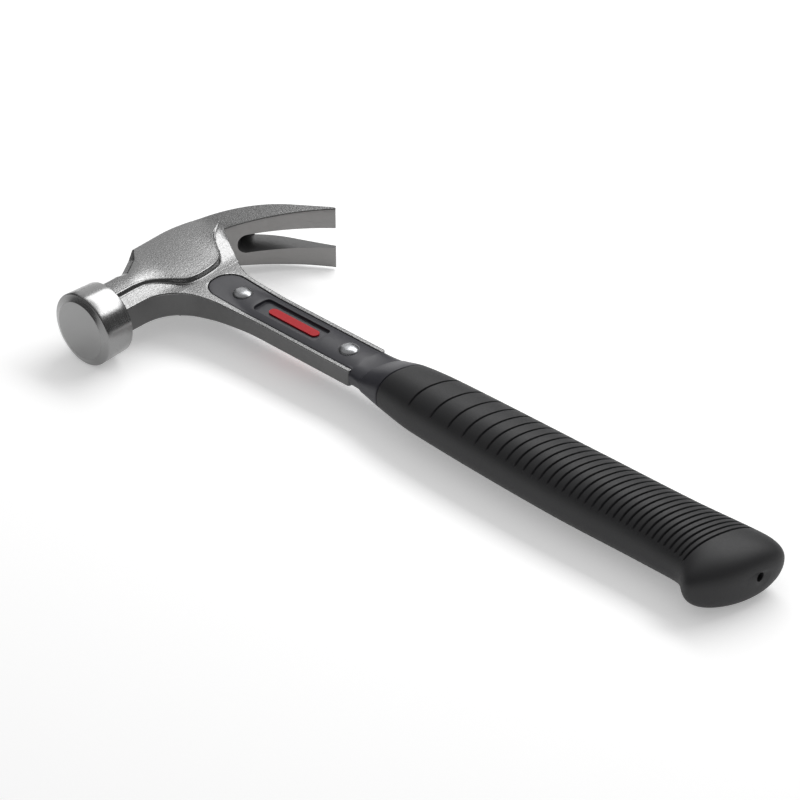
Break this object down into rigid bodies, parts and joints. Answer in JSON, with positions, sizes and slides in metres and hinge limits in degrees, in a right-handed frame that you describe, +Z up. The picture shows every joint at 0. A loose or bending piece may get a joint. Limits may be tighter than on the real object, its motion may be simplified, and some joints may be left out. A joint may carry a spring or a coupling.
{
  "type": "framing hammer",
  "caption": "Claw hammer with a forged steel head and I-beam shank, riveted plastic side scales and a ribbed rubber grip with a flared butt.",
  "frame": {"origin": "middle of the hammer's footprint, on the floor under its bell, lying on its cheek", "axes": "+X along the handle to the butt, +Y from the striking face to the claws, +Z up out of the upper cheek"},
  "size_m": [0.3398, 0.1298, 0.0334],
  "materials": {
    "steel": "forged, bead blasted and clear coated, with a ground bell and claws",
    "plastic": "satin dark grey moulding",
    "chrome": "bright plated rivets",
    "rubber": "matt black moulded rubber",
    "red_plastic": "red moulding"
  },
  "bodies": {
    "root": {"head_and_shank": "steel", "scale_upper": "plastic", "scale_lower": "plastic", "rivets": "chrome", "grip": "rubber", "bar_upper": "red_plastic", "bar_lower": "red_plastic"}
  },
  "joints": []
}
